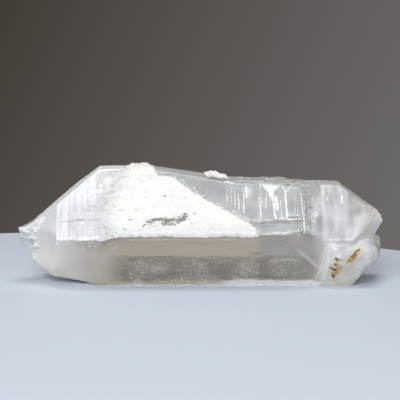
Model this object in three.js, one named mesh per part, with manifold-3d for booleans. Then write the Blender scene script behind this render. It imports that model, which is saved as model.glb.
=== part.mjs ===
// A double terminated quartz crystal lying on one of its prism faces, with a patch of white crust.
// Millimetres, +Z up. X runs along the crystal's c axis, the crust is on the front (-Y) side, and
// the origin is on the surface that the crystal rests on, under the middle of its box.
import * as THREE from 'three';
import Module from 'manifold-3d';
import { ConvexGeometry } from 'three/addons/geometries/ConvexGeometry.js';
import { mergeVertices } from 'three/addons/utils/BufferGeometryUtils.js';

const wasm = await Module();
wasm.setup();

// ---- driving dimensions ----

const axisHeight = 14.5; // the c axis above the resting face
const rhombSlope = 38.2; // a rhombohedral face leans this far from the c axis
const crustGap = 0.3; // air between the crust and the quartz
const crustThickness = 0.9; // the crust's even layer under its lumps

// The six sides of the prism, by their turn about the c axis from straight up towards the back.
const turns = {
  top: 0,
  backUpper: 60,
  backLower: 120,
  base: 180,
  frontLower: 240,
  frontUpper: 300,
};

// How far each side of the largest crystal stands from the c axis.
const reach = {
  top: 16.9,
  backUpper: 14,
  backLower: 13.5,
  base: axisHeight,
  frontLower: 10.7,
  frontUpper: 13.5,
};

const axis = new THREE.Vector3(0, 0, axisHeight);

// ---- flat faces ----

function sideNormal(side) {
  const turn = THREE.MathUtils.degToRad(turns[side]);
  return new THREE.Vector3(0, Math.sin(turn), Math.cos(turn));
}

// A face that stands `distance` from the c axis at `x` and closes on the axis by `slope` degrees
// towards +X, or towards -X where the slope is negative.
function face(side, distance, x = 0, slope = 0) {
  const lean = THREE.MathUtils.degToRad(slope);
  const normal = sideNormal(side).multiplyScalar(Math.cos(lean));
  normal.x = Math.sin(lean);
  const point = sideNormal(side).multiplyScalar(distance).add(axis);
  point.x = x;
  return { normal, offset: normal.dot(point) };
}

// A face given by the direction that it looks in and a point on it.
function freeFace(direction, point) {
  const normal = new THREE.Vector3(...direction).normalize();
  return { normal, offset: normal.dot(new THREE.Vector3(...point)) };
}

function meetingPoint(a, b, c) {
  const rows = new THREE.Matrix3().set(...a.normal, ...b.normal, ...c.normal);
  if (Math.abs(rows.determinant()) < 1e-6) {
    return null;
  }
  return new THREE.Vector3(a.offset, b.offset, c.offset).applyMatrix3(rows.invert());
}

// The convex crystal that the faces enclose, as a solid. `grow` moves every face outwards.
function crystal(faces, grow = 0) {
  const walls = faces.map(({ normal, offset }) => ({ normal, offset: offset + grow }));
  const corners = [];
  for (let i = 0; i < walls.length; i += 1) {
    for (let j = i + 1; j < walls.length; j += 1) {
      for (let k = j + 1; k < walls.length; k += 1) {
        const corner = meetingPoint(walls[i], walls[j], walls[k]);
        if (corner && walls.every((wall) => wall.normal.dot(corner) < wall.offset + 1e-6)) {
          corners.push(corner);
        }
      }
    }
  }
  return solid(new ConvexGeometry(corners));
}

// ---- joining and cutting ----

function solid(geometry) {
  const bare = geometry.clone();
  bare.deleteAttribute('normal');
  bare.deleteAttribute('uv');
  const merged = mergeVertices(bare, 1e-4);
  return new wasm.Manifold(
    new wasm.Mesh({
      numProp: 3,
      vertProperties: new Float32Array(merged.attributes.position.array),
      triVerts: new Uint32Array(merged.index.array),
    }),
  );
}

function geometryOf(body) {
  const { vertProperties, triVerts } = body.getMesh();
  const geometry = new THREE.BufferGeometry();
  geometry.setAttribute('position', new THREE.BufferAttribute(vertProperties, 3));
  geometry.setIndex(new THREE.BufferAttribute(triVerts, 1));
  geometry.computeVertexNormals();
  return geometry;
}

const joined = (bodies) => bodies.reduce((whole, body) => whole.add(body));
const cutFrom = (whole, tools) => tools.reduce((rest, tool) => rest.subtract(tool), whole);

// ---- work on a side of the prism ----

// Local axes of a side: x along the crystal, y up the side, z out of it, from the c axis's foot.
function onSide(side, distance, x = 0, up = 0, out = 0) {
  const normal = sideNormal(side);
  const along = new THREE.Vector3(1, 0, 0);
  const upward = new THREE.Vector3().crossVectors(normal, along);
  const foot = normal.clone().multiplyScalar(distance + out).add(axis);
  foot.addScaledVector(along, x).addScaledVector(upward, up);
  return new THREE.Matrix4().makeBasis(along, upward, normal).setPosition(foot);
}

const shareOf = (count, step) => (count * step) % 1;

// A low flat-topped ledge with the outline `points`, standing `height` out of a side.
function ledge(side, distance, points, height) {
  const sunk = 1; // how deep its root goes below the side
  const outline = new THREE.Shape(points.map(([x, up]) => new THREE.Vector2(x, up)));
  const plate = new THREE.ExtrudeGeometry(outline, { depth: sunk + height, bevelEnabled: false });
  return solid(plate.applyMatrix4(onSide(side, distance, 0, 0, -sunk)));
}

// A growth ridge that runs up a side, across the c axis: gentle on its left, steep on its right,
// and hipped at both ends.
function ridge(side, distance, { x, from, to, width, height, lean = 0 }) {
  const sunk = 0.8;
  const length = to - from;
  const hip = Math.min(length / 3, 3 * height);
  const corners = [];
  for (const level of [-sunk, 0]) {
    for (const end of [0, length]) {
      corners.push(new THREE.Vector3(-0.7 * width, end, level));
      corners.push(new THREE.Vector3(0.3 * width, end, level));
    }
  }
  corners.push(new THREE.Vector3(0, hip, height), new THREE.Vector3(0, length - hip, height));
  const blade = new ConvexGeometry(corners).rotateZ(THREE.MathUtils.degToRad(lean));
  return solid(blade.applyMatrix4(onSide(side, distance, x, from)));
}

// The cutter of a small three-sided etch pit in a side.
function pit(side, distance, x, up, size) {
  const cone = new THREE.ConeGeometry(size, size, 3).rotateX(-Math.PI / 2).rotateZ(Math.PI / 2);
  return solid(cone.applyMatrix4(onSide(side, distance, x, up)));
}

// ---- the crystal's individuals, all on the same c axis ----

// The largest individual: the whole prism, the left point and the right rhombohedral face. Its
// upper front side may stand at another distance, as it does where the growth steps rise.
function mainFaces(front = reach.frontUpper, leftSteps = leftFrontSteps[0]) {
  return [
    face('top', reach.top, 10, 2.5),
    face('backUpper', reach.backUpper),
    face('backLower', reach.backLower),
    face('base', reach.base),
    face('frontLower', reach.frontLower),
    face('frontUpper', front),
    ...leftPoint(leftSteps),
    face('top', 15.5, 36, rhombSlope),
    face('backUpper', reach.backUpper, 30, rhombSlope),
    face('backLower', reach.backLower, 32, rhombSlope),
    face('base', reach.base, 41.5, 54),
    face('frontLower', reach.frontLower, 36, rhombSlope),
    face('frontUpper', reach.frontUpper, 30.5, rhombSlope),
    freeFace([0.2, -0.92, -0.34], [27.5, -12.2, 14.2]),
  ];
}

// The upper front side comes down to the left point in steps: each stands at `distance` from the
// c axis as far as `x`, where a small rhombohedral riser leads down to the next.
const leftFrontSteps = [
  { distance: reach.frontUpper, x: -32 },
  { distance: 13.15, x: -34.6 },
  { distance: 12.75, x: -36.1 },
  { distance: 12.3, x: -38.7 },
  { distance: 11.7, x: -40.3 },
  { distance: 11.2, x: -42.8 },
];

// The left point: steep faces next to the prism, rhombohedral ones at the tip.
function leftPoint({ distance, x }) {
  return [
    face('top', 20.3, -31, -39),
    face('backUpper', reach.backUpper, -38, -rhombSlope),
    face('backLower', reach.backLower, -33, -12),
    face('backLower', 11.5, -42, -rhombSlope),
    face('base', reach.base, -32, -11),
    face('base', 12.3, -43.5, -rhombSlope),
    face('frontLower', reach.frontLower, -29, -10),
    face('frontLower', 8.3, -43, -rhombSlope),
    face('frontUpper', distance, x, -rhombSlope),
    freeFace([-0.9, -0.3, -0.35], [-54, 0, 13]),
  ];
}

// The tall shoulder of the left half, whose top slopes down to the right.
function shoulderFaces({ distance, x }) {
  return [
    face('top', 20.9, -20, -1),
    face('top', 20.6, -14, 9),
    face('backUpper', reach.backUpper - 0.8),
    face('backLower', reach.backLower),
    face('base', reach.base),
    face('frontLower', reach.frontLower),
    face('frontUpper', distance),
    ...leftPoint({ distance, x }),
    freeFace([0.7, -0.3, 0.65], [12, -6, 30]),
  ];
}

// The lower left individual. It carries the front edge down below the prism's own, as far as
// `edgeCorner`, and fades into the lower front side on a gentle slope.
function lowerLeftFaces({ distance, x }) {
  const edgeCorner = [-34, -14.44, 15.79];
  return [
    face('top', 6),
    face('backUpper', 5),
    face('backLower', 5),
    face('base', 10.5),
    face('frontUpper', distance),
    face('frontUpper', distance, x, -rhombSlope),
    face('frontLower', 12.2, -30, rhombSlope),
    face('frontLower', 10.25, -42.7, -56),
    freeFace([0, -0.788, -0.616], edgeCorner),
    freeFace([-0.164, -0.777, -0.607], edgeCorner),
    freeFace([-1, 0, 0], [-45.5, 0, 0]),
  ];
}

// The cloudy individual behind the right rhombohedral face, which carries the right point.
function rightFaces() {
  return [
    face('top', 15.7, 38, 2),
    face('top', 15.5, 41.2, 33.5),
    freeFace([0.72, -0.08, 0.7], [53.4, 0, 23.2]),
    face('backUpper', 13.2),
    face('backUpper', 13.2, 41, rhombSlope),
    face('backLower', 12.6),
    face('backLower', 12.6, 39, 44),
    face('base', 11),
    face('base', 11, 43.5, 54),
    face('frontLower', 9),
    face('frontLower', 9, 45, 48),
    face('frontUpper', 9.5),
    face('frontUpper', 9.5, 49, 50),
    freeFace([-1, 0, 0], [15, 0, 0]),
    freeFace([1, -0.15, 0.2], [54.8, 0, 19.2]),
  ];
}

// The short crystal fused under the right point, tipped out to the front and worn at its edges.
function lobeFaces() {
  const faces = [
    freeFace([1, 0, 0], [53.7, 0, 10]),
    freeFace([0.8, -0.1, -0.6], [50.6, 0, 6]),
    freeFace([0.86, -0.2, 0.47], [52.6, 0, 13.6]),
    freeFace([0.25, -1, 0.08], [44, -11.4, 9]),
    freeFace([-0.35, -1, -0.05], [40, -11.6, 8]),
    freeFace([0.1, -0.5, 0.86], [44, -10.2, 13.4]),
    freeFace([0.05, -0.78, -0.62], [44, -4.6, 0]),
    freeFace([-0.85, -0.52, 0.05], [37.2, -10.2, 9]),
    freeFace([0.2, 0.1, 1], [44, 0, 15.5]),
    freeFace([0.1, 1, -0.3], [44, 8.5, 8]),
    freeFace([-1, 0, 0], [30, 0, 0]),
  ];
  return [...faces, ...wornEdges(faces, 0.45), freeFace([0, 0, -1], [44, 0, 0])];
}

// Narrow faces along the edges where two of the faces meet, `depth` inside each edge.
function wornEdges(faces, depth) {
  const narrow = [];
  faces.forEach((a, index) => {
    for (const b of faces.slice(index + 1)) {
      const sum = a.normal.clone().add(b.normal);
      const length = sum.length();
      const offset = (a.offset + b.offset) / length - depth;
      if (length > 1.1 && length < 1.97) {
        narrow.push({ normal: sum.divideScalar(length), offset });
      }
    }
  });
  return narrow;
}

// Growth steps on the upper front side, rising to the right. Each step's front is broken in two.
function growthSteps() {
  const steps = [
    { rise: 0.25, x: 13.2, foot: -0.9 },
    { rise: 0.6, x: 17.8, foot: -0.5 },
    { rise: 0.95, x: 21.9, foot: -0.4 },
    { rise: 1.25, x: 25.5, foot: 0.6 },
  ];
  const up = new THREE.Vector3().crossVectors(sideNormal('frontUpper'), new THREE.Vector3(1, 0, 0));
  const bodies = [];
  for (const { rise, x, foot } of steps) {
    const distance = reach.frontUpper + rise;
    for (const [shift, tilt, above] of [[0, -0.05, foot], [-0.7, 0.06, foot + 5.5]]) {
      const corner = onSide('frontUpper', distance, x + shift, above);
      const point = new THREE.Vector3().setFromMatrixPosition(corner).toArray();
      const front = freeFace([-1, tilt, tilt], point);
      const sill = freeFace(up.clone().negate().toArray(), point);
      bodies.push([...mainFaces(distance), front, sill]);
    }
  }
  return bodies;
}

// Flat individuals in parallel growth: each stands `rise` out of one side, from x to x between two
// rhombohedral ends. `next` is how far the two neighbouring sides stand, which bounds it sideways.
function growthPlates() {
  const plates = [
    { side: 'backUpper', rise: 0.4, from: -31, to: 16, next: [13.6, 8.2] },
    { side: 'backUpper', rise: 0.75, from: -9, to: 24, next: [10.2, 11] },
    { side: 'backUpper', rise: 0.25, from: 8, to: 31, next: [13.2, 4.5] },
    { side: 'backLower', rise: 0.55, from: -27, to: 6, next: [9.6, 11.6] },
    { side: 'backLower', rise: 0.3, from: -3, to: 30, next: [11.8, 7.4] },
    { side: 'frontLower', rise: 0.15, from: -28, to: 16.5, next: [4.9, 11.9] },
    { side: 'top', rise: -0.65, from: 18, to: 35, next: [9.8, 11.2] },
    { side: 'top', rise: 0.05, from: 12, to: 25, next: [10.5, 13.6] },
  ];
  const names = Object.keys(turns);
  return plates.map(({ side, rise, from, to, next }) => {
    const index = names.indexOf(side);
    const before = names[(index + 5) % 6];
    const after = names[(index + 1) % 6];
    const distance = reach[side] + rise;
    const inward = sideNormal(side).negate();
    return [
      face(side, distance),
      face(side, distance, from, -rhombSlope),
      face(side, distance, to, rhombSlope),
      face(before, next[0]),
      face(before, next[0], from + 1, -rhombSlope),
      face(before, next[0], to - 7, rhombSlope),
      face(after, next[1]),
      face(after, next[1], from + 6, -rhombSlope),
      face(after, next[1], to - 1, rhombSlope),
      { normal: inward, offset: inward.dot(axis) - 0.7 * distance },
    ];
  });
}

// ---- small forms fused to the crystal ----

// Little points and chips about the left tip.
function tipCrystals() {
  const spots = [
    { at: [-52.4, -2.0, 16.2], size: 1.3, lean: -62 },
    { at: [-50.9, -3.7, 14.4], size: 1.4, lean: -84 },
    { at: [-53.5, -0.9, 14.4], size: 1.2, lean: -98 },
    { at: [-50.3, -2.9, 11.7], size: 1.3, lean: -125 },
    { at: [-49.4, -4.6, 16.6], size: 1.0, lean: -40 },
    { at: [-53.0, 0.8, 16.2], size: 1.1, lean: -75 },
    { at: [-50.8, 2.9, 14.6], size: 1.4, lean: -100 },
    { at: [-50.0, 0.2, 9.9], size: 0.9, lean: -150 },
  ];
  return spots.map(({ at, size, lean }) => smallCrystal(at, size, lean));
}

// Frosted little points along the right point's upper edge.
function rightEdgeCrystals() {
  const spots = [
    { at: [53.1, -0.7, 20.6], size: 1.0, lean: 66 },
    { at: [51.5, -1.5, 22.2], size: 0.9, lean: 45 },
    { at: [53.6, -0.1, 18.6], size: 0.9, lean: 98 },
    { at: [49.7, -1.6, 23.5], size: 0.7, lean: 35 },
    { at: [47.4, -1.2, 25.1], size: 0.6, lean: 20 },
  ];
  return spots.map(({ at, size, lean }) => smallCrystal(at, size, lean));
}

// One six-sided crystal with a point, turned by `lean` degrees from upright towards +X.
function smallCrystal(at, size, lean) {
  const profile = [
    new THREE.Vector2(0, -size),
    new THREE.Vector2(size * 0.8, -size),
    new THREE.Vector2(size * 0.8, size * 0.35),
    new THREE.Vector2(0, size * 1.35),
  ];
  const little = new THREE.LatheGeometry(profile, 6);
  little.rotateX(Math.PI / 2).rotateY(THREE.MathUtils.degToRad(lean));
  return solid(little.translate(...at));
}

// The ragged ridge right of the growth steps.
function frontRidges() {
  const ridges = [
    { x: 30.4, from: -4.3, to: 2.4, width: 0.7, height: 0.4 },
    { x: 30.8, from: 1.2, to: 8.8, width: 0.6, height: 0.35, lean: 3 },
  ];
  return ridges.map((row) => ridge('frontUpper', reach.frontUpper, row));
}

// Etch pits, small and shallow, low on the front.
function etchPits() {
  const pits = [];
  for (let count = 0; count < 26; count += 1) {
    const x = -19 + 50 * shareOf(count, 0.618);
    const up = -8.6 + 7.4 * shareOf(count, 0.65);
    pits.push(pit('frontLower', reach.frontLower, x, up, 0.3 + 0.2 * shareOf(count, 0.271)));
  }
  return pits;
}

// The fissure that the stain lies in: two slanting grooves on the small crystal's front.
function stainGrooves() {
  const grooves = [
    { at: [44.7, -11.9, 11], size: [6, 1.1, 1.1], slant: -33 },
    { at: [39.9, -11.2, 6.8], size: [5.4, 1.3, 1.3], slant: -64 },
  ];
  return grooves.map(({ at, size, slant }) => {
    const groove = new THREE.BoxGeometry(...size).rotateX(Math.PI / 4);
    groove.rotateY(THREE.MathUtils.degToRad(slant));
    return solid(groove.translate(...at));
  });
}

function crystalBodies(grow) {
  const individuals = [rightFaces(), lobeFaces(), ...growthSteps(), ...growthPlates()];
  for (const step of leftFrontSteps) {
    individuals.push(mainFaces(step.distance, step), shoulderFaces(step), lowerLeftFaces(step));
  }
  return individuals.map((faces) => crystal(faces, grow));
}

function quartzCrystal() {
  const whole = joined([
    ...crystalBodies(0),
    ...tipCrystals(),
    ...rightEdgeCrystals(),
    ...frontRidges(),
  ]);
  const crystalBody = cutFrom(whole, [...etchPits(), ...stainGrooves()]);
  return named('quartz_crystal', crystalBody, clearQuartz());
}

// ---- the white crust ----

// The crust's outline on the upper front face: x along the crystal, then up the face.
const crustOutline = [
  [-25, -4.8], [-8, -5], [8, -4.9], [16.8, -4.6], [15.2, -2.6], [8.5, 2.3], [1.2, 6.3], [-3.9, 10.4],
  [-8.2, 13.5], [-12.4, 13.9], [-13.4, 16], [-16, 16.8], [-22, 16.8], [-25.5, 15], [-27, 10],
  [-28.5, 5], [-30, -1.5], [-30, -5.9],
];

// Lumps spread over the outline, each a low flattened ball half sunk in the even layer.
function crustLumps() {
  const lumps = [];
  for (let count = 0; count < 210; count += 1) {
    const x = -30 + 47 * shareOf(count, 0.7549);
    const up = -5 + 23 * shareOf(count, 0.5698);
    const size = 1.3 + 1.5 * shareOf(count, 0.437) ** 2;
    if (inside(crustOutline, x, up)) {
      const lump = new THREE.IcosahedronGeometry(size, 0).rotateX(count).rotateY(count * 1.7);
      lump.scale(1.4, 0.95, 0.2);
      const place = onSide('frontUpper', reach.frontUpper, x, up, crustThickness * 0.9);
      lumps.push(solid(lump.applyMatrix4(place)));
    }
  }
  return lumps;
}

// Whether the spot lies inside the outline, by counting the sides that it is left of.
function inside(outline, x, up) {
  let within = false;
  outline.forEach(([startX, startUp], index) => {
    const [endX, endUp] = outline[(index + 1) % outline.length];
    const share = (up - startUp) / (endUp - startUp);
    if (startUp > up !== endUp > up && x < startX + (endX - startX) * share) {
      within = !within;
    }
  });
  return within;
}

function whiteCrust() {
  const layer = ledge('frontUpper', reach.frontUpper, crustOutline, crustThickness);
  const crust = cutFrom(joined([layer, ...crustLumps()]), crystalBodies(crustGap));
  return named('white_crust', crust, chalkyCrust());
}

// A separate clump on the front edge of the top.
function crustLump() {
  const spots = [
    { at: [0.4, -4.0, 33.2], size: 1.2 },
    { at: [2.0, -4.3, 33.1], size: 1.5 },
    { at: [3.8, -4.5, 33.2], size: 1.7 },
    { at: [5.6, -4.8, 32.8], size: 1.4 },
    { at: [3.2, -3.2, 33.4], size: 1.2 },
    { at: [6.9, -5.2, 32.1], size: 1.0 },
  ];
  const balls = spots.map(({ at, size }, index) => {
    const ball = new THREE.IcosahedronGeometry(size, 1).rotateX(index * 1.3).scale(1, 1, 0.7);
    return solid(ball.translate(...at));
  });
  const clump = cutFrom(joined(balls), crystalBodies(crustGap));
  return named('crust_lump', clump, chalkyCrust());
}

// ---- materials and the finished part ----

function clearQuartz() {
  return new THREE.MeshStandardMaterial({ color: 0xc9cccd, roughness: 0.12, metalness: 0 });
}

function chalkyCrust() {
  return new THREE.MeshStandardMaterial({ color: 0xf6f5ef, roughness: 0.9, metalness: 0 });
}

function named(name, body, material) {
  const mesh = new THREE.Mesh(geometryOf(body), material);
  mesh.name = name;
  return mesh;
}

const specimen = new THREE.Group();
specimen.add(quartzCrystal(), whiteCrust(), crustLump());

// Stands the group over the middle of its own box.
const middle = new THREE.Box3().setFromObject(specimen).getCenter(new THREE.Vector3());
specimen.position.set(-middle.x, -middle.y, 0);

export default specimen;
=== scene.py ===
"""A double terminated quartz crystal with a patch of white crust, lying on a round pale table top.

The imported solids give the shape. This add-on refines the crystal's faces, builds the crust, crumbs,
growth ridges, cracks, growth outlines and iron stain, and gives every piece its material. Lengths on
the crystal are in mm, in its own place: x along the c axis, and `up` over a side of the prism.
"""

import math

import bmesh
import bpy
import numpy as np
from bpy.props import FloatProperty, FloatVectorProperty, IntProperty, PointerProperty
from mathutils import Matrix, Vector, kdtree
from mathutils.bvhtree import BVHTree


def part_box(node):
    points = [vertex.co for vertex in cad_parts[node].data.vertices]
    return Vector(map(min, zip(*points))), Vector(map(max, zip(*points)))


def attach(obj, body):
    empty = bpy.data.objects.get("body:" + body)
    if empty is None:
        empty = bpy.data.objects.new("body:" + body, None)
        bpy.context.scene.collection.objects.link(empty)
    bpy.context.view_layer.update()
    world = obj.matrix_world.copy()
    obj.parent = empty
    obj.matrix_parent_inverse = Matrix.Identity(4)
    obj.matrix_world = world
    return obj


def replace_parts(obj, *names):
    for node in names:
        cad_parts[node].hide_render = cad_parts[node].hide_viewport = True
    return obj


bl_info = {
    "name": "Double Terminated Quartz",
    "version": (1, 0, 0),
    "blender": (4, 5, 0),
    "location": "View3D > Sidebar > Quartz",
    "description": "Dresses a packed quartz crystal with relief, crust, stain and studio light",
    "category": "Object",
}

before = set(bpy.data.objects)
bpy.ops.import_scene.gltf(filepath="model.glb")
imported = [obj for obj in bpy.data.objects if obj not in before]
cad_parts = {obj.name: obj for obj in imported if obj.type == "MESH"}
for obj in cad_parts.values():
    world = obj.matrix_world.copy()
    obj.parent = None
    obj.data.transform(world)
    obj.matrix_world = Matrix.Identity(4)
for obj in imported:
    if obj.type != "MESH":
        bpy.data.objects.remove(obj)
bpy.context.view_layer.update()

MM = 0.001
RIGHT_END, BACK_EDGE = 54.8, 15.877  # the crystal's own right end and back edge, mm
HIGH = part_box("quartz_crystal")[1] / MM
SHIFT = np.array([HIGH.x - RIGHT_END, HIGH.y - BACK_EDGE, 0])  # from its own place to the part's, mm
AXIS = SHIFT + (0, 0, 14.5)  # a point of the c axis, mm
ALONG = np.array([1.0, 0.0, 0.0])
# The two front sides of the prism: the outward direction, and the distance from the c axis in mm.
OUT = {"upper": np.array([0, -math.sqrt(0.75), 0.5]), "lower": np.array([0, -math.sqrt(0.75), -0.5])}
REACH = {"upper": 13.5, "lower": 10.7}
# Growth steps of the upper front side: x on either side of each start, and how far it stands out.
STEP_STARTS = (13.18, 13.22, 17.78, 17.82, 21.88, 21.92, 25.48, 25.52)
STEP_RISES = (0, 0.25, 0.25, 0.6, 0.6, 0.95, 0.95, 1.25)

SPLIT_ROUNDS = 12  # most halvings of the long edges
FLAT_BEND = 0.002  # edges that bend less are free to be redrawn, radians
EDGE_BEND, CREST_BEND = 9, 22  # least bend of an edge of the solid, and of a crest, degrees
SHARP_BEND = 24  # edges that bend more are shaded sharp, degrees

QUARTZ_IOR = 1.544
GRAIN_BUMP = 0.0002  # height of the bump on grainy surfaces, m
# The quartz material: colour, share of light let through, and roughness. The layers lie over the
# clear quartz in this order.
CLEAR_QUARTZ = ("eceeee", 0.8, 0.04)
QUARTZ_LAYERS = {
    "milk": ("eceff2", 0.15, 0.12),
    "cream": ("fbf4e6", 0.1, 0.25),
    "warm": ("cfc1ab", 0.35, 0.12),
    "deep": ("90867a", 0.45, 0.3),
    # painted sheen: the white of these streaks stands partly for the light they reflect
    "streak": ("f4f7fb", 0.1, 0.25),
    "etch": ("e3dcd0", 0.1, 0.45),
    # painted highlight: part of this white stands for glints on the left end
    "frost": ("f7f8f8", 0.08, 0.55),
    "halo": ("d9d3ac", 0.1, 0.5),
    "stain": ("b88a58", 0.05, 0.7),
}
QUARTZ_DEPTH = ("d8cfc2", 10.0)  # colour and density of the light lost inside
CRUST_WHITE = "f3f3f1"
CRUST_TINTS = {"warm": "efeeea", "thin": "dadbdc", "pits": "868682"}


# Colour and noise


def linear(hex_colour):
    """The linear RGBA of an sRGB hex colour such as "c9cccd"."""
    shares = [int(hex_colour[i : i + 2], 16) / 255 for i in (0, 2, 4)]
    return tuple(s / 12.92 if s <= 0.04045 else ((s + 0.055) / 1.055) ** 2.4 for s in shares) + (1,)


def lattice(i, j, seed):
    """A steady random number from 0 to 1 for each whole lattice point."""
    return np.modf(np.abs(np.sin(i * 127.1 + j * 311.7 + seed * 74.7) * 43758.5453))[0]


def draws(count, seed, *kinds):
    """Steady random numbers from 0 to 1: `count` of each kind."""
    return [lattice(np.arange(count), kind, seed) for kind in kinds]


def noise(x, y, cell, seed):
    """Smooth value noise from -1 to 1: lattice values blended by 3t^2 - 2t^3 across cells."""
    u, v = x / cell, y / cell
    i, j = np.floor(u), np.floor(v)
    s, t = u - i, v - j
    s, t = s * s * (3 - 2 * s), t * t * (3 - 2 * t)
    low = lattice(i, j, seed) * (1 - s) + lattice(i + 1, j, seed) * s
    high = lattice(i, j + 1, seed) * (1 - s) + lattice(i + 1, j + 1, seed) * s
    return 2 * (low * (1 - t) + high * t) - 1


def rough(x, y, cell, seed, layers=4):
    """Rough noise from -1 to 1: layers of noise, each with half the cell and 0.6 of the strength."""
    total, weight = 0, 0
    for layer in range(layers):
        strength = 0.6**layer
        total = total + strength * noise(x, y, cell / 2**layer, seed + 11 * layer)
        weight += strength
    return total / weight


def grains(x, y, cell, seed):
    """Rounded grains from 0 to 1: one minus the squared distance to the nearest jittered lattice point."""
    u, v = x / cell, y / cell
    i, j = np.floor(u), np.floor(v)
    nearest = 9 + 0 * u
    for di in (-1, 0, 1):
        for dj in (-1, 0, 1):
            px = i + di + lattice(i + di, j + dj, seed)
            py = j + dj + lattice(i + di, j + dj, seed + 5)
            nearest = np.minimum(nearest, (u - px) ** 2 + (v - py) ** 2)
    return np.clip(1 - nearest, 0, 1)


def step(value, low, high):
    """0 below low, 1 above high, and 3t^2 - 2t^3 between them."""
    t = np.clip((value - low) / (high - low), 0, 1)
    return t * t * (3 - 2 * t)


def fall(value, low, high):
    """1 below low and 0 above high."""
    return 1 - step(value, low, high)


def band(value, low, high, blur):
    """1 from low to high, fading to 0 over blur on both sides."""
    return step(value, low - blur, low + blur) * fall(value, high - blur, high + blur)


def oval(x, y, middle_x, middle_y, radius_x, radius_y, slant=0, core=0.4):
    """1 within the core of a slanted oval, fading to 0 at its rim."""
    c, s = math.cos(math.radians(slant)), math.sin(math.radians(slant))
    dx, dy = x - middle_x, y - middle_y
    return fall(np.hypot((dx * c + dy * s) / radius_x, (dy * c - dx * s) / radius_y), core, 1)


def ovals(x, y, *rows):
    """Ovals added up: each row gives a strength, and then an oval's middle, radii, slant and core."""
    return sum(strength * oval(x, y, *shape) for strength, *shape in rows)


# Places on the crystal


def on_side(side, x, up, height):
    """Points in metres: x along the crystal, up the side and height out of it, all in mm."""
    x, up, height = np.broadcast_arrays(x, up, height)
    upward = np.cross(OUT[side], ALONG)
    place = x[..., None] * ALONG + up[..., None] * upward + (REACH[side] + height)[..., None] * OUT[side]
    return (AXIS + place) * MM


def over_side(points, side):
    """x, up and height in mm over a side, for points in metres: the reverse of on_side."""
    local = points / MM - AXIS
    return local @ ALONG, local @ np.cross(OUT[side], ALONG), local @ OUT[side] - REACH[side]


def front_rise(x):
    """How far the growth steps stand out of the upper front side at x, in mm."""
    return np.interp(x, STEP_STARTS, STEP_RISES)


def pushed(places, side, height):
    """The places moved by a height in mm along the outward direction of a side."""
    return places + np.asarray(height)[..., None] * MM * OUT[side]


def settled(places, inward=(0, 1, 0)):
    """The places moved onto the finished crystal along a direction."""
    mesh = bpy.data.objects["quartz"].data
    tree = BVHTree.FromPolygons([v.co for v in mesh.vertices], [f.vertices for f in mesh.polygons])
    inward = Vector(inward).normalized()
    hits = [tree.ray_cast(Vector(place) - 0.02 * inward, inward)[0] for place in places]
    return np.array([hit for hit in hits if hit])


# Meshes


def linked(name, data):
    """A new object in the scene."""
    thing = bpy.data.objects.new(name, data)
    bpy.context.scene.collection.objects.link(thing)
    return thing


def grid_mesh(name, points, faces, material):
    """A smooth mesh of points in metres and quads."""
    mesh = bpy.data.meshes.new(name)
    mesh.from_pydata(np.reshape(points, (-1, 3)).tolist(), [], faces.tolist())
    mesh.update()
    mesh.shade_smooth()
    mesh.materials.append(material)
    return mesh


def new_piece(name, points, faces, material, slot="chalky_crust"):
    """A mesh piece in the frame, riding on the root body."""
    piece = linked(name, grid_mesh(name, points, faces, material))
    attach(piece, "root")
    return piece


def store(mesh, masks):
    """Writes each mask onto the mesh as a number per vertex."""
    for name, values in masks.items():
        attribute = mesh.attributes.new(name, "FLOAT", "POINT")
        attribute.data.foreach_set("value", values.ravel().astype(np.float32))


def grid_faces(rows, columns, copies=1, closed=False):
    """Quads of some grids of points. The last column meets the first if closed."""
    last = columns if closed else columns - 1
    r, c = np.meshgrid(np.arange(rows - 1), np.arange(last), indexing="ij")
    n = (c + 1) % columns
    quads = np.stack([r * columns + c, r * columns + n, (r + 1) * columns + n, (r + 1) * columns + c], -1)
    starts = np.arange(copies) * rows * columns
    return (quads.reshape(1, -1, 4) + starts[:, None, None]).reshape(-1, 4)


def lumps(centres, sizes, seed, turned=(6, 9)):
    """Little uneven balls: a latitude by longitude grid about each centre, its radius pushed in and
    out by noise of the direction, flattened along each ball's own random axis."""
    rows, columns = turned
    rise = np.linspace(0, math.pi, rows)[:, None]
    turn = np.linspace(0, 2 * math.pi, columns, endpoint=False)
    unit = np.stack([np.sin(rise) * np.cos(turn), np.sin(rise) * np.sin(turn), np.cos(rise) + 0 * turn], -1)
    order = np.arange(len(centres))[:, None, None]
    dx, dy, dz = (unit[None, ..., k] for k in range(3))
    bump = 1 + 0.35 * noise(dx * 1.7 + 9.1 * order, dz * 1.7 + dy, 1, seed)
    axis = np.stack(draws(len(centres), seed, 1, 2, 3), -1) - 0.5
    axis /= np.linalg.norm(axis, axis=-1, keepdims=True)
    ball = unit[None] * bump[..., None]
    along = np.einsum("nrck,nk->nrc", ball, axis)
    ball = ball - 0.45 * along[..., None] * axis[:, None, None]
    points = centres[:, None, None] + ball * sizes[:, None, None, None] * MM
    return points, grid_faces(rows, columns, len(centres), closed=True)


# Material nodes


def set_inputs(tree, node, inputs):
    """Gives each input a value or a feeding socket."""
    for key, value in inputs.items():
        if isinstance(value, bpy.types.NodeSocket):
            tree.links.new(value, node.inputs[key])
        else:
            node.inputs[key].default_value = value


def add_node(tree, kind, settings=None, inputs=None):
    """Adds one shader node: settings are its own properties."""
    node = tree.nodes.new("ShaderNode" + kind)
    for name, value in (settings or {}).items():
        setattr(node, name, value)
    set_inputs(tree, node, inputs or {})
    return node


def new_material(name):
    """A material with only its output, one Principled surface and the place on the object."""
    material = bpy.data.materials.new(name)
    material.use_nodes = True
    tree = material.node_tree
    tree.nodes.clear()
    output = add_node(tree, "OutputMaterial")
    surface = add_node(tree, "BsdfPrincipled")
    tree.links.new(surface.outputs[0], output.inputs["Surface"])
    place = add_node(tree, "TexCoord").outputs["Object"]
    return material, tree, surface, place


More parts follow.
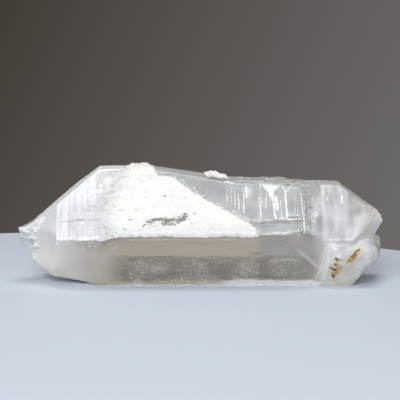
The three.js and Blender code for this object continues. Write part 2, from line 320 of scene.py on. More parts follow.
def noise_socket(tree, place, size_mm, stretch=(1, 1, 1), detail=4):
    """Noise from 0 to 1 whose blotches are about size_mm across, drawn out where stretch is below 1."""
    mapped = add_node(tree, "Mapping", None, {"Vector": place, "Scale": stretch}).outputs[0]
    inputs = {"Vector": mapped, "Scale": 1 / (size_mm * MM), "Detail": detail}
    return add_node(tree, "TexNoise", None, inputs).outputs[0]


def mask_sockets(tree, names):
    """The sockets of the masks that are written on the mesh."""
    return {name: add_node(tree, "Attribute", {"attribute_name": name}).outputs["Fac"] for name in names}


def maths(tree, operation, *values, clamp=False):
    """The result of one sum on values or sockets."""
    settings = {"operation": operation, "use_clamp": clamp}
    return add_node(tree, "Math", settings, dict(enumerate(values))).outputs[0]


def mixed(tree, factor, low, high):
    """A number or a colour between low and high, by the factor."""
    kind, first, result = ("RGBA", 6, 2) if isinstance(high, tuple) else ("FLOAT", 2, 0)
    inputs = {"Factor": factor, first: low, first + 1: high}
    return add_node(tree, "Mix", {"data_type": kind}, inputs).outputs[result]


def bumped(tree, height, strength, distance=GRAIN_BUMP, **normal):
    """The normal, bumped by a texture's height over a distance in metres."""
    inputs = {"Height": height, "Strength": strength, "Distance": distance, **normal}
    return add_node(tree, "Bump", None, inputs).outputs[0]


def threshold(tree, mask, texture, share, softness):
    """A mask broken up by a texture: full where mask + share * texture passes 1, over softness."""
    ragged = maths(tree, "MULTIPLY_ADD", texture, share, mask)
    inputs = {"Value": ragged, "From Min": 1 - softness, "From Max": 1 + softness}
    return add_node(tree, "MapRange", {"interpolation_type": "SMOOTHSTEP"}, inputs).outputs[0]


def quartz_material():
    """Rock crystal. Clear quartz passes most light, and on it lie milky veils, warm smoky body,
    growth streaks with painted sheen, etched speckle, frost with painted highlights, and iron stain."""
    material, tree, surface, place = new_material("rock_crystal")
    surface.inputs["IOR"].default_value = QUARTZ_IOR
    masks = mask_sockets(tree, QUARTZ_LAYERS)
    soft = noise_socket(tree, place, 5)
    speck = noise_socket(tree, place, 0.32)
    line = noise_socket(tree, place, 0.8, (1, 0.04, 0.04), detail=5)
    broad_line = noise_socket(tree, place, 3, (1, 0.1, 0.1), detail=2)
    patch = noise_socket(tree, place, 1.6)
    cloudy = maths(tree, "SUBTRACT", soft, 0.5)
    masks["milk"] = maths(tree, "MULTIPLY_ADD", cloudy, 0.7, masks["milk"], clamp=True)
    inputs = {"Value": masks["streak"], "From Max": 0.8, "To Min": 0.2}
    lined_zone = add_node(tree, "MapRange", None, inputs).outputs[0]
    # The streak layer's white is partly painted sheen, and the frost layer's is partly painted highlight.
    for name, texture, share, softness in (
        ("streak", line, 1, 0.3), ("etch", speck, 1, 0.1), ("frost", patch, 1, 0.25),
        ("halo", patch, 0.6, 0.6), ("stain", patch, 0.6, 0.5),
    ):
        masks[name] = threshold(tree, masks[name], texture, share, softness)
    colour, passing, dull = linear(CLEAR_QUARTZ[0]), *CLEAR_QUARTZ[1:]
    for name, (tint, share, roughness) in QUARTZ_LAYERS.items():
        colour = mixed(tree, masks[name], colour, linear(tint))
        passing = mixed(tree, masks[name], passing, share)
        dull = mixed(tree, masks[name], dull, roughness)
    ripple = maths(tree, "MULTIPLY_ADD", broad_line, 2, line)
    ripple = maths(tree, "MULTIPLY", ripple, lined_zone)
    lined = bumped(tree, ripple, 0.2)
    pitted = bumped(tree, masks["etch"], 0.5, 0.0001, Normal=lined)
    inputs = {"Base Color": colour, "Transmission Weight": passing, "Roughness": dull, "Normal": pitted}
    set_inputs(tree, surface, inputs)
    inputs = {"Color": linear(QUARTZ_DEPTH[0]), "Density": QUARTZ_DEPTH[1]}
    absorbing = add_node(tree, "VolumeAbsorption", None, inputs)
    tree.links.new(absorbing.outputs[0], tree.nodes["Material Output"].inputs["Volume"])
    return material


def grainy_material(name, colours, size_mm, roughness, relief=0.3):
    """A dull mineral coat whose colours, from a dark to a light one, change over grains of size_mm."""
    material, tree, surface, place = new_material(name)
    grain = noise_socket(tree, place, size_mm)
    ramp = add_node(tree, "ValToRGB", None, {"Fac": grain})
    stops = ramp.color_ramp.elements
    for index, tint in enumerate(colours):
        at = 0.32 + 0.36 * index / (len(colours) - 1)
        stop = stops[index] if index < 2 else stops.new(at)
        stop.position = at
        stop.color = linear(tint)
    inputs = {"Base Color": ramp.outputs[0], "Roughness": roughness, "Normal": bumped(tree, grain, relief)}
    set_inputs(tree, surface, inputs)
    return material


# The crystal


def refined_copy(node, fine, coarse):
    """The node's mesh, merged, with its long edges split: to `fine` metres on the front, `coarse`
    behind. Also the points on its edges, and those on the crests that stand out sharply."""
    work = bmesh.new()
    work.from_mesh(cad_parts[node].data)
    bmesh.ops.remove_doubles(work, verts=work.verts, dist=2e-6)
    bmesh.ops.dissolve_limit(work, angle_limit=math.radians(0.3), verts=work.verts, edges=work.edges)
    bmesh.ops.triangulate(work, faces=work.faces)
    for _ in range(SPLIT_ROUNDS):
        limits = ((e, fine if min(f.normal.y for f in e.link_faces) < -0.2 else coarse) for e in work.edges)
        long_edges = [edge for edge, limit in limits if edge.calc_length() > limit]
        if not long_edges:
            break
        bmesh.ops.subdivide_edges(work, edges=long_edges, cuts=1)
        bmesh.ops.triangulate(work, faces=[face for face in work.faces if len(face.verts) > 3])
        flat = [e for e in work.edges if e.is_manifold and e.calc_face_angle(0) < FLAT_BEND]
        bmesh.ops.beautify_fill(work, faces=work.faces, edges=flat)
    mesh = bpy.data.meshes.new(node + "_fine")
    work.to_mesh(mesh)
    bends = [(math.degrees(e.calc_face_angle_signed(0)), e) for e in work.edges]
    edges = [v.co.to_tuple() for bend, e in bends if abs(bend) > EDGE_BEND for v in e.verts]
    crests = [v.co.to_tuple() for bend, e in bends if bend > CREST_BEND for v in e.verts]
    work.free()
    return mesh, edges, crests


def distance_to(places, edge_points):
    """Distance in mm from each vertex to the nearest of the points."""
    tree = kdtree.KDTree(len(edge_points))
    for index, point in enumerate(edge_points):
        tree.insert(point, index)
    tree.balance()
    return np.array([tree.find(place)[2] for place in places]) / MM


def crystal_masks(places, normals, worn, crest):
    """Where each layer of the quartz material lies, as one number per vertex."""
    x, up_a, _ = over_side(places, "upper")
    _, up_b, _ = over_side(places, "lower")
    y, z = (places / MM - SHIFT).T[1:]
    ny, nz = normals.T[1:]
    facing = step(-ny, 0.2, 0.5)
    upper = step(nz - 0.6 * ny, 0.25, 0.5) * facing
    lower = step(-nz, -0.1, 0.1) * facing
    # At the left end the lower side begins at a seam that falls towards the point.
    seam = np.interp(x, (-50.5, -48.5, -46.5, -45.5, -43.4), (10.8, 11.1, 12.1, 13.5, 14.1))
    seam = seam + 0.8 * rough(x, 0.5 * z, 2.5, 26)
    lower = np.where(x < -42.5, fall(z - seam, -1, 1) * step(-ny, -0.3, 0.1), lower)
    top = step(nz, 0.85, 0.95)
    left_foot = fall(x, -42.7, -42.1) * fall(z, 15.5, 17)
    # The band along the top left facet, which the milk and frost layers paint bright as a highlight line.
    left_top = step(nz, 0.3, 0.6) * fall(x, -26, -18) * step(x, -50, -47) * (1 - upper)
    # The small crystal at the lower right.
    lobe = step(x, 34.5, 37.5) * step(16.5 - z, 0, 2) * step(-y, 1, 3)
    # The pale foot, the light lines and the bright lens on the lower side.
    cream = lower * band(x, 6, 41, 4) * fall(up_b + 0.5 * rough(x, 0 * x, 3, 16), -8.9, -7.7)
    line = lower * ovals(x, up_b, (1, 31.2, 0.6, 8, 0.8, -49), (0.7, 22.5, 2.15, 4.8, 0.35))
    lens = lower * oval(x, up_b, 16, 2.2, 2.8, 0.6)
    light = 1 - np.clip(cream + 0.5 * line, 0, 1)
    open_lower = lower * (1 - lobe) * light
    # Darker mottling on the top, and the ragged upper rim of the smoky lower side.
    mottled = top * band(x, 9, 34, 2) * step(rough(x, 1.3 * y, 2.6, 19), -0.5, 0.3)
    ragged = up_b + 0.9 * rough(x * 0.7, up_b, 4, 17)

    milk = 0.52 + 0.4 * fall(x, -32, -26) + 0.12 * step(x, 29, 34) + 0.2 * step(x, 47, 50)
    milk -= 0.1 * fall(x, -51, -49)
    back = step(ny, 0.1, 0.4) * step(x, -44, -38)
    milk += back * (0.45 * rough(x * 0.6, z + y, 4.5, 20) - 0.28 - 0.2 * fall(x, -32, -26))
    milk += upper * (
        0.6 * step(x, 30, 33) * rough(x, 0.45 * up_a, 3.2, 18)
        + 0.6 * oval(x, up_a, 13.6, 9, 2.4, 3, core=0)
        + 0.05 * band(x, 17, 24.5, 1) * step(up_a, -1.5, 1)
        - 0.05 * band(x, -6, 8, 3)
        - 0.15 * band(x, 9, 29, 1.5) * fall(up_a, -1.2, 0.2)
    )
    milk += lower * (0.3 * fall(x, -44, -33) + 0.1 * band(x, -33, -20, 5)) - 0.35 * lens
    milk += lobe * (0.2 + 0.45 * rough(x, 1.2 * z, 2.6, 25)) + 0.5 * (1 - light)
    milk += top * (0.3 * fall(x, -22, -10) + 0.2) + 0.5 * left_top
    milk += 0.5 * step(x, 44, 47) * band(z, 11.5, 22, 1) * facing

    creamy = lower * fall(x, -46, -31) * (0.5 + 0.3 * step(z, 3, 12)) + 0.45 * cream
    creamy = np.maximum(creamy, 0.5 * left_foot) * step(x, -52, -49)
    creamy += lobe * ((0.35 - 0.3 * step(z, 7, 12)) * fall(x, 42, 48) + 0.35 * fall(z, 6, 10))
    creamy += 0.6 * step(x, 48, 52) * (1 - lobe) + 0.3 * lower * step(x, 35, 37) * step(z, 11, 13)
    creamy *= 0.9 + 0.5 * rough(x, 1.4 * z, 5, 24)

    warm = 0.85 * open_lower * step(x, -48, -27) * (1 - 0.4 * step(x, 12, 24))
    warm += 0.15 * lower * band(up_b, 0.6, 9.6, 0.5) * band(x, -26, 17, 3)
    warm += 0.25 * lobe * fall(z, 6, 12) * step(x, 37, 41) * fall(x, 42, 50)
    warm += 0.35 * lower * fall(x, -42, -38) * fall(z, 2, 7)
    warm *= 1 - step(x, 43, 46) * step(z, 12, 14)

    deep = 0.9 * band(x, -25, 34, 5) * band(ragged, -8.8, 1, 1) * (1 - 0.6 * step(x, 10, 26))
    deep *= 1 + 0.35 * rough(x, up_b * 0.8, 5, 14)
    deep = open_lower * (deep + 0.4 * band(x, 17, 34, 2)) + 0.12 * mottled + 0.6 * lens
    deep += lobe * (0.09 + 0.26 * rough(x, z, 3, 35) + 0.2 * step(x, 47, 51)) * fall(z, 13, 16)

    # Growth streaks on the upper left and right. Their white is partly painted sheen, and on the left a
    # painted highlight runs along the step edges.
    streak = 0.95 * band(x, -43, -40, 0.7) + 0.4 * band(x, -40.5, -24, 0.9)
    streak += 0.6 * band(x, -43, -24, 1) * (step(up_a, 2, 8) - step(worn, 0.1, 0.7))
    streak = 0.9 * streak + 0.36 * band(x, 35.2, 37.8, 1.1) + 0.14 * band(x, 31, 47, 2)

    etch = lower * band(ragged, -10.5, 0.9, 0.9) * band(x, -26, 33, 6)
    etch *= 0.42 + 0.12 * rough(x, up_b, 4, 15)
    etch += 0.45 * top * band(x, 22, 39, 3)

    # Frost lies on the crests, on both ends, in flecks on the upper side and about the left end. Part of it
    # is painted highlight: the white on the left point, the bright fan and line at its top, and the band
    # along the top left facet.
    plain_edge = band(x, 32, 38, 0.5) * fall(z, 9, 10) + left_foot
    frost = 0.3 * fall(crest, 0.05, 0.5) * (1 - lower * band(up_b, -9.5, 8.2, 0.5))
    frost *= 1 - np.clip(plain_edge, 0, 1)
    frost += 0.24 * fall(x, -50.5, -47.5) + 0.57 * step(x, 48.5, 52.5) * (1 - 0.8 * lobe)
    spots = ovals(
        x, up_a, (0.66, 20.6, 10.8, 3.6, 3.2, -10), (0.5, 13.6, 9.4, 1.6, 2, 0, 0),
        (0.6, 41.8, 8, 0.9, 2.6), (0.6, 46.9, -3.6, 1.4, 1.9), (0.45, 33, 4, 2.6, 7),
    )
    spots += 0.5 * band(up_a, -7.5, -4.6, 0.5) * band(x, -43, -30, 0.5)
    # Painted highlights: the bright fan at the top of the left point and the line along its upper edge.
    spots += 0.8 * oval(x, z, -47.8, 20, 2.2, 1, 40)
    spots += 0.5 * fall(worn, 0.1, 0.7) * fall(x, -46, -43) * step(z, 17.5, 18.5)
    spots += 0.6 * oval(x, z, -49, 17.5, 4.5, 3.5) * step(rough(x, z, 1.6, 36), 0, 0.4)
    spots += 0.45 * left_foot * fall(np.abs(z - seam), 0.2, 0.8)
    spots += 0.14 * fall(x, -43.5, -43) * step(z, 16, 18)
    spots += 0.4 * band(x, -42, -25, 1) * step(up_a, 4, 9)
    frost += spots * (1 - lower) + 0.9 * left_top
    frost += 0.36 * lower * band(up_b, -10.7, -10.15, 0.2) * band(x, -28, 40, 2)
    frost += 0.15 * lower * oval(x, up_b, 16, -9.4, 7, 1.1)
    frost += 0.18 * lobe * step(rough(x, z, 1.3, 33), 0.3, 0.6) * fall(z, 11, 12.5)
    frost += 0.75 * top * band(x, 6, 40, 3) * step(rough(x, 1.5 * y, 1.1, 34), -0.1, 0.5)

    # Ochre and tan stain in ovals on the small crystal's front.
    small = step(-y, 4, 6) * step(x, 35, 37)
    halo = ovals(x, z, (1.3, 45.9, 10.9, 5.2, 2.9, 42, 0), (1.3, 39.9, 6.2, 6, 3.7, 72, 0))
    stain = ovals(
        x, z, (1, 45.1, 10.4, 4.4, 1.8, 42, 0.1), (0.8, 44.5, 9, 2, 1.4, 42, 0),
        (1, 40.3, 6.2, 2.8, 3.7, 0, 0), (0.5, 38.8, 4.2, 2.4, 1.8, 0, 0),
        (0.3, 42.5, 8.4, 3.5, 2.2, 42, 0),
    )
    stain *= 1 + 0.6 * rough(x, z, 1.3, 37)
    return {
        "milk": np.clip(np.clip(milk, 0, 1) - 0.25 * mottled, 0, 1),
        "cream": np.clip(creamy, 0, 1),
        "warm": np.clip(warm + 0.15 * mottled, 0, 1),
        "deep": np.clip(deep, 0, 1),
        "streak": upper * streak,
        "etch": etch,
        "frost": np.clip(frost, 0, 0.9),
        "halo": np.clip(halo * (1 + 0.6 * rough(x, z, 1.7, 38)), 0, 0.75) * small,
        "stain": np.clip(stain, 0, 1) * small,
    }


def rounded(mesh, places, share, rounds, back=0.5):
    """Places worn round: over and over each vertex is drawn, by its share, to the mean of its
    neighbours and then pushed back a little, so that edges soften and the body keeps its size."""
    a, b = np.array([edge.vertices[:] for edge in mesh.edges]).T
    count = len(places)
    degree = np.bincount(a, minlength=count) + np.bincount(b, minlength=count)
    for pull in (0.65, -back) * rounds:
        total = [np.bincount(a, at[b], count) + np.bincount(b, at[a], count) for at in places.T]
        places = places + pull * share[:, None] * (np.stack(total, -1) / degree[:, None] - places)
    return places


def eased(places):
    """The places with the low steps on both front sides eased. Also how far each of them lay below
    the ramp that runs down to the left point, in mm."""
    x, up, proud = over_side(places, "lower")
    # The smooth band below the front edge hardly stands out.
    flush = (proud > 0.02) & (proud < 0.3) & (np.abs(up - 4) < 4.5)
    sunk = np.where(flush, 1 - 0.2 * step(places[:, 0] / MM, -22, -14), 0)
    # The plate by its left end wedges out downwards.
    plate = (proud > 0.3) & (proud < 1.6) & (x > -41) & (x < -27) & (up > 0)
    sunk = np.where(plate, fall(up, 1.5, 7.5), sunk)
    places = pushed(places, "lower", -sunk * proud)
    # The low steps by the left point blend into one another on the ramp.
    x, up, proud = over_side(places, "upper")
    below = -2.3 * np.clip((-31 - x) / 11.8, 0, 1) - proud
    steps = (np.abs(below) < 0.6) & (x > -43) & (x < -31) & (up > -7.5)
    # The upper right runs out in one hollow curve.
    curve = 1.25 - 5.25 * (1 - np.exp(-(x - 29) / 4.5))
    hollow = step(x, 30, 32) * fall(x, 45, 48) * step(up, -4.8, -3.2) * fall(up, 3, 11)
    hollow *= (np.abs(proud - curve) < 2) * np.maximum(curve - proud, 0)
    return pushed(places, "upper", np.where(steps, 0.85 * below, hollow)), below


def worn_ends(mesh, places, normals, below):
    """The places with the lower left end, the small crystal and both tips worn round and drawn in."""
    x, up, _ = over_side(places, "upper")
    z = places[:, 2] / MM
    front = normals[:, 1] < 0.1
    raised = step(z, 0.05, 0.8)
    under_edge = fall(up, 9.5, 10.6)
    tip = 0.5 * fall(x, -50, -48) * (z < 16)
    share = fall(x, -29, -22) * step(x, -50, -47) * step(below, 0.1, 0.9) * front + tip
    share += 0.7 * step(x, 36, 39) * step(15.5 - z, 0, 1.5) * (normals[:, 1] < 0.3)
    share += 0.9 * step(x, 33, 35) * step(z, 15.5, 16.5) * under_edge * front
    places[:, 0] -= 2.3 * MM * step(-x, 36, 46) * fall(z, 3, 12)
    places[:, 0] += 0.9 * MM * oval(x, z, 52, 11, 5, 5)
    places = rounded(mesh, places, np.clip(share, 0, 1) * raised, 45)
    share = ovals(x, z, (1, -47, 13.4, 5, 2.8), (1, -44.8, 8.5, 4.5, 8.5)) + 2 * tip
    share += band(x, 46.5, 50.5, 1) * band(z, 13, 24, 1)
    share += band(x, 33.5, 37.5, 1) * step(z, 16, 17) * under_edge
    share += 0.8 * band(x, 31.5, 38, 1) * fall(z, 9, 11) * raised
    share += band(x, -31.5, -26, 1) * fall(z, 12.5, 14) * raised
    places = rounded(mesh, places, np.clip(share, 0, 1) * front, 24, back=0)
    places[:, 0] -= 0.9 * MM * fall(x, -53, -51)
    return places


def build_crystal(settings):
    """The crystal's own solid with fine relief: growth lines in x, a slow swell, chipped edges and a
    broken left tip."""
    mesh, edges, crests = refined_copy("quartz_crystal", settings.fine * MM, settings.coarse * MM)
    places, normals = (np.array([getattr(v, at) for v in mesh.vertices], float) for at in ("co", "normal"))
    worn, crest = distance_to(places, edges), distance_to(places, crests)
    places, below = eased(places)
    places = worn_ends(mesh, places, normals, below)
    x, y, z = (places / MM - SHIFT).T
    lines = noise(x, 0.12 * z + 0.1 * y, 1.9, 3) * 0.035 + noise(x, 0.2 * z - 0.1 * y, 0.9, 4) * 0.02
    swell = noise(x + y, z - y, 7, 5) * 0.05
    calm = 1 - 0.8 * band(x, -8, 7, 2) * (y < 0)
    chipped = 0.2 * step(rough(x, y + z, 2.4, 6), 0, 0.7) * fall(worn, 0, 0.5)
    broken = 0.32 * (grains(x + 0.4 * y, z + 0.3 * y, 2.1, 7) - 0.6)
    broken *= fall(x, -51.5, -49) * fall(z, 16, 18)
    height = (lines * calm + swell) * step(worn, 0.2, 1.2) * settings.relief - chipped + broken
    height[z < 0.02] = 0
    store(mesh, crystal_masks(places, normals, worn, crest))
    places = places + normals * (height * MM)[:, None]
    places[:, 2] = np.maximum(places[:, 2], 0)
    mesh.vertices.foreach_set("co", places.ravel())
    mesh.update()
    mesh.materials.append(quartz_material())
    piece = linked("quartz", mesh)
    mesh.set_sharp_from_angle(angle=math.radians(SHARP_BEND))
    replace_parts(piece, "quartz_crystal")
    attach(piece, "root")


# The crust

TURNED_ROWS = 8  # rows of the crust sheet that turn down over the front edge
CLUMP_BALLS, CLUMP_MAIN = 34, 7  # balls of the crust clump, and how many of them are large


def crust_sides(up):
    """The crust's left and right ends in x at a height up the face."""
    left = np.interp(up, (-5.2, -4.6, -1.5, 5, 10, 15, 17), (-30.5, -31.3, -32, -30, -28, -26, -23.5))
    heights = (-5.2, -2.6, 2.5, 6.3, 8.3, 10.4, 13.5, 13.9, 16, 17)
    right = np.interp(up, heights, (17.2, 16.4, 8.5, 1.2, -1.4, -3.9, -8.2, -12.4, -13.4, -16))
    return left, right


def build_crust(settings, material):
    """The crust as a sheet over the upper front face. Its thickness rises from under the quartz at
    the ragged rim to an even layer, with grains, lumps, fine cracks and a long fissure in it; the
    first rows turn down over the front edge."""
    rows, columns = settings.rows, settings.columns
    turned = np.full(TURNED_ROWS, -5.05)
    up = np.concatenate([turned, np.linspace(-5, 17.7, rows - TURNED_ROWS)])[:, None]
    left, right = crust_sides(up)
    right = right + 0.7 * rough(up, 0, 2.6, 21, 5) + 0.5 * rough(up, 0, 0.55, 23, 3)
    x = left + (right - left) * np.linspace(0, 1, columns)
    up = up + 0 * x
    rim = np.minimum((x - left) * 0.35, (right - x) * 1.3)
    rim = np.minimum(rim, (17 + 0.7 * rough(x, 0, 2.2, 22) - up) * 1.5)
    rim = np.minimum(rim, (up + 5.3 + 0.3 * rough(x, 0, 0.7, 25)) * 0.9)
    layer = step(rim, -0.05, 0.8) * settings.thickness - 0.12
    cover = step(layer, 0, 0.4)
    gaps = 0.84 * fall(x - left, 1, 9) * step(rough(x * 0.6, up * 1.5, 1.6, 31), -0.35, 0.5)
    relief = (
        0.22 * noise(x, up * 1.3, 3.4, 41)
        + 0.24 * (grains(x, up * 1.2, 1.1, 51) - 0.6)
        + 0.2 * (grains(x, up, 0.45, 61) - 0.6)
        + 0.08 * noise(x, up, 0.2, 71)
    )
    relief *= (0.45 + 0.55 * step(x - left, 1, 7)) * cover
    # Fine cracks run level along the crystal: narrow valleys of a drawn-out noise.
    valleys = np.abs(noise(x * 0.25, up + 0.5 * noise(x, up, 2.5, 82), 0.75, 81))
    cracks = fall(valleys, 0, 0.16) * step(noise(x, up * 1.5, 2.2, 83), 0.2, 0.7) * cover
    middle = -0.5 + 0.14 * (x + 10) + 0.4 * rough(x, 0, 3, 84)
    fissure = fall(np.abs(up - middle + 0.7 * noise(x, up, 1.6, 86)), 0.6, 3)
    fissure *= band(x, -17, -3, 3) * (0.85 + 0.6 * rough(x * 0.5, up * 1.4, 1.3, 85))
    height = np.maximum(layer + relief - gaps - 0.22 * cracks - 0.4 * fissure, -0.15)
    # Past its upper rim the sheet dives under the quartz, and its lower rim wanders.
    height -= 5 * np.clip(up - 16.75 - 0.6 * rough(x, 0, 1.3, 24), 0, 1)
    lowest = 0.5 * rough(x, 0, 5, 91) + 0.25 * rough(x, 0, 1.2, 92) - 1.5 * fall(x, -30, -24)
    up = np.where(up < -4.2, up + lowest * step(-up, 4.2, 5), up)
    # The first rows turn down behind the front edge.
    turn = np.linspace(0.95, 0, TURNED_ROWS)[:, None]
    height[:TURNED_ROWS] = height[TURNED_ROWS] - turn * (height[TURNED_ROWS] + 0.5)
    points = on_side("upper", x, up, height)
    piece = new_piece("crust", points, grid_faces(rows, columns), material)
    strokes = step(noise(x * 0.55, up * 2, 0.55, 95), 0.4, 0.8) * step(rough(x, up, 5, 96), -0.1, 0.4)
    thin = 0.5 * band(up + 1.3 * rough(x, 0.6 * up, 4.5, 94), -5.2, -1.8, 2)
    thin += 0.6 * fall(x - left, 1.5, 9)
    pits = np.clip(0.52 * cracks + 0.62 * fissure + 0.44 * strokes * cover, 0, 1)
    store(piece.data, {"pits": pits, "thin": thin})
    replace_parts(piece, "white_crust")


def crust_material():
    """Chalky mineral crust: near-white grains, warm in places, grey along its cracks and fissure."""
    material, tree, surface, place = new_material("chalky_mineral_crust")
    grain = noise_socket(tree, place, 0.35)
    patch = noise_socket(tree, place, 5, detail=3)
    masks = mask_sockets(tree, ("pits", "thin"))
    masks = {
        "warm": threshold(tree, patch, patch, 0.6, 0.25),
        "thin": threshold(tree, masks["thin"], grain, 1, 0.35),
        "pits": threshold(tree, masks["pits"], grain, 1, 0.12),
    }
    colour = linear(CRUST_WHITE)
    for name, mask in masks.items():
        colour = mixed(tree, mask, colour, linear(CRUST_TINTS[name]))
    inputs = {"Base Color": colour, "Roughness": 0.9, "Normal": bumped(tree, grain, 0.4)}
    set_inputs(tree, surface, inputs)
    return material


def build_clump(material):
    """The crust clump on the top edge: uneven balls run together along x, with smaller ones about."""
    low, high = (np.array(corner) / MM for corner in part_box("crust_lump"))
    share, across, rise, large, little = draws(CLUMP_BALLS, 101, 1, 2, 3, 4, 5)
    order = np.arange(CLUMP_BALLS)
    main = order < CLUMP_MAIN
    share = np.where(main, (order + 0.5) / CLUMP_MAIN, share)
    x = low[0] + 1.9 + (high[0] - low[0] - 2.7) * share
    y = (low[1] + high[1]) / 2 + np.where(main, 0.6, 2.2) * (across - 0.5) - 0.15
    z = high[2] - 0.85 + np.where(main, 0.45, 0.9) * rise - 0.28 * (x - low[0] - 4) * (share > 0.55)
    sizes = np.where(main, 0.85 + 0.4 * large, 0.25 + 0.35 * little)
    balls = lumps(np.stack([x, y, z], -1) * MM, sizes, 103, (22, 32))
    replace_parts(new_piece("crust_clump", *balls, material), "crust_lump")


# Small forms on the crystal

RIDGE_ROWS, RIDGE_COLUMNS = 90, 9  # points along a ridge and around it
CRACK_ROWS, OUTLINE_ROWS = 140, 60  # points along a crack and along an outline
# grains along the crust's rim, over the top edge, and beside the clump
RIM_GRAINS, CROWN_GRAINS, TAIL_GRAINS = 300, 300, 26


def build_ridges(material):
    """Frosted growth ridges. Each is a half-round strip along a path up the face, whose middle line,
    width and height wander by noise and fade at both ends. None stands clear of the crystal."""
    # x, from, to, width, height, lean in degrees
    table = np.array([
        (7.6, 5.5, 10.5, 0.16, 0.08, 0), (8.9, 4.5, 10.8, 0.14, 0.08, 0), (9.9, 3.5, 9.8, 0.18, 0.1, 0),
        (11.1, 2.6, 9, 0.22, 0.14, 2), (12.4, 1.8, 10.4, 0.38, 0.22, -2), (13.4, 6.5, 11, 0.3, 0.12, 0),
        (17.6, 0.2, 7.6, 0.46, 0.34, 3), (17.9, 4.5, 12.4, 0.5, 0.36, 5), (18.9, 3, 9, 0.16, 0.12, -4),
        (20, 8.8, 12.6, 1, 0.26, 28), (21.4, 5.5, 12.2, 1.1, 0.34, 16), (21.9, -0.4, 9.2, 0.62, 0.44, 5),
        (22.6, 2.2, 11.4, 0.7, 0.36, 8), (23.7, -0.5, 6.2, 0.22, 0.16, 3), (25.2, -0.2, 9.9, 0.5, 0.38, 2),
        (25.3, 8, 12, 0.4, 0.26, 26), (25.3, 8.2, 12.4, 0.4, 0.26, -24), (27.6, 1.5, 7.4, 0.14, 0.1, 0),
        (30.5, -3.8, 2.4, 0.3, 0.18, 5), (29.9, 1.2, 9.2, 0.24, 0.16, 5),
        (30.7, -3.6, -1.6, 0.26, 0.14, -30),
    ])
    x, start, end, width, high, lean = table.T[..., None, None]
    share = np.linspace(0, 1, RIDGE_ROWS)[None, :, None]
    turn = np.linspace(0, math.pi, RIDGE_COLUMNS)[None, None, :]
    order = np.arange(len(table))[:, None, None]
    run = (end - start) * share
    up = start + run
    middle = x + 0.22 * rough(up, 17 * order, 1.6, 111) - run * np.tan(np.radians(lean))
    ends = step(share, 0, 0.12) * fall(share, 0.88, 1)
    swing = (0.6 + 0.6 * step(rough(up * 2.2, 13 * order, 1.4, 112), -0.6, 0.5)) * ends
    jag = 0.08 * noise(up * 5, turn * 2 + 7 * order, 1, 113)
    across = middle + 0.8 * width * swing * np.cos(turn) + jag * ends
    rise = front_rise(middle)
    above = on_side("upper", middle, up, rise).reshape(-1, 3)
    lift = (above - settled(above, -OUT["upper"])) @ OUT["upper"] / MM
    height = rise + high * swing * np.sin(turn) - 0.06 - np.maximum(lift, 0).reshape(rise.shape)
    points = on_side("upper", across, up, height)[:, :, ::-1]
    faces = grid_faces(RIDGE_ROWS, RIDGE_COLUMNS, len(table))
    new_piece("growth_ridges", points, faces, material, "clear_quartz")


def scattered(side, count, seed, x_range, up_range, height=0.05, bunch=0):
    """Spots spread over a rectangle of a side; bunch draws them towards its middle line."""
    a, b, c = draws(count, seed, 1, 2, 3)
    b = 0.5 + (b - 0.5) * (1 - bunch * c)
    x, up = (low + (high - low) * share for (low, high), share in ((x_range, a), (up_range, b)))
    return on_side(side, x, up, height + (front_rise(x) if side == "upper" else 0))


def build_crumbs(material):
    """Loose white crumbs stuck on the faces: about the crust's rim, along the ledges, at the left tip,
    over the top edge and beside the clump."""
    along, aside, share = draws(RIM_GRAINS, 121, 1, 2, 3)
    up = -4.4 + 19.9 * share
    rim = on_side("upper", crust_sides(up)[1] + 1.6 * along**2, up + 0.5 * aside, 0.02)
    # count, seed, x from and to, up from and to, height, bunching
    spots = {
        "upper": (
            (60, 122, (14, 28), (-0.9, 0.9), 0.05, 0.7), (45, 123, (25.5, 31.5), (-4.4, -2.6)),
            (30, 125, (-33, -28), (-6.2, -2)), (90, 127, (28.8, 33.2), (-4, 9)),
            (70, 132, (-42, -30.5), (-6.4, -4.6)), (160, 133, (-33.5, -27.5), (-4.5, 14)),
            (24, 131, (36, 48), (-7, 9)),
        ),
        "lower": (
            (9, 124, (-35.5, -33.6), (3, 5.4)), (12, 130, (-33.4, -30.6), (5, 7.6)),
            (26, 126, (-24, 30), (-9, 8)),
        ),
    }
    groups = [settled(rim, -OUT["upper"])]
    for side, rows in spots.items():
        groups += [settled(scattered(side, *row), -OUT[side]) for row in rows]
    sizes = [0.06 + 0.22 * draws(sum(len(group) for group in groups), 128, 4)[0] ** 3]
    chips = np.array([(-52, 0.3, 8.6), (-52, 0.2, 7.7), (-52, -0.4, 8.1)])
    groups.append(settled((chips + SHIFT) * MM, (1, 0, 0)))
    sizes.append((0.5, 0.55, 0.4))
    # The crust carries on over the top edge, thinner towards both ends.
    crown = scattered("upper", CROWN_GRAINS, 134, (-22.5, -14.2), (16.3, 17.3), 1.5)
    crown[:, 1] += 7.2 * MM * draws(CROWN_GRAINS, 134, 5)[0]
    crown = settled(crown, (0, 0, -1))
    ends = step(np.abs(crown[:, 0] / MM - SHIFT[0] + 18.6), 1.6, 4)
    groups.append(crown)
    sizes.append((0.3 + 0.65 * draws(len(crown), 135, 4)[0]) * (1 - 0.72 * ends))
    # A short tail runs on from the clump.
    low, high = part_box("crust_lump")
    a, b = draws(TAIL_GRAINS, 136, 1, 2)
    tail = np.stack([high[0] + (2.8 * a - 0.8) * MM, low[1] + (0.4 + 1.2 * b) * MM, 0 * a + high[2] + MM], -1)
    groups.append(settled(tail, (0, 0, -1)))
    sizes.append(0.15 + 0.3 * (1 - a))
    new_piece("white_crumbs", *lumps(np.concatenate(groups), np.concatenate(sizes), 129), material)


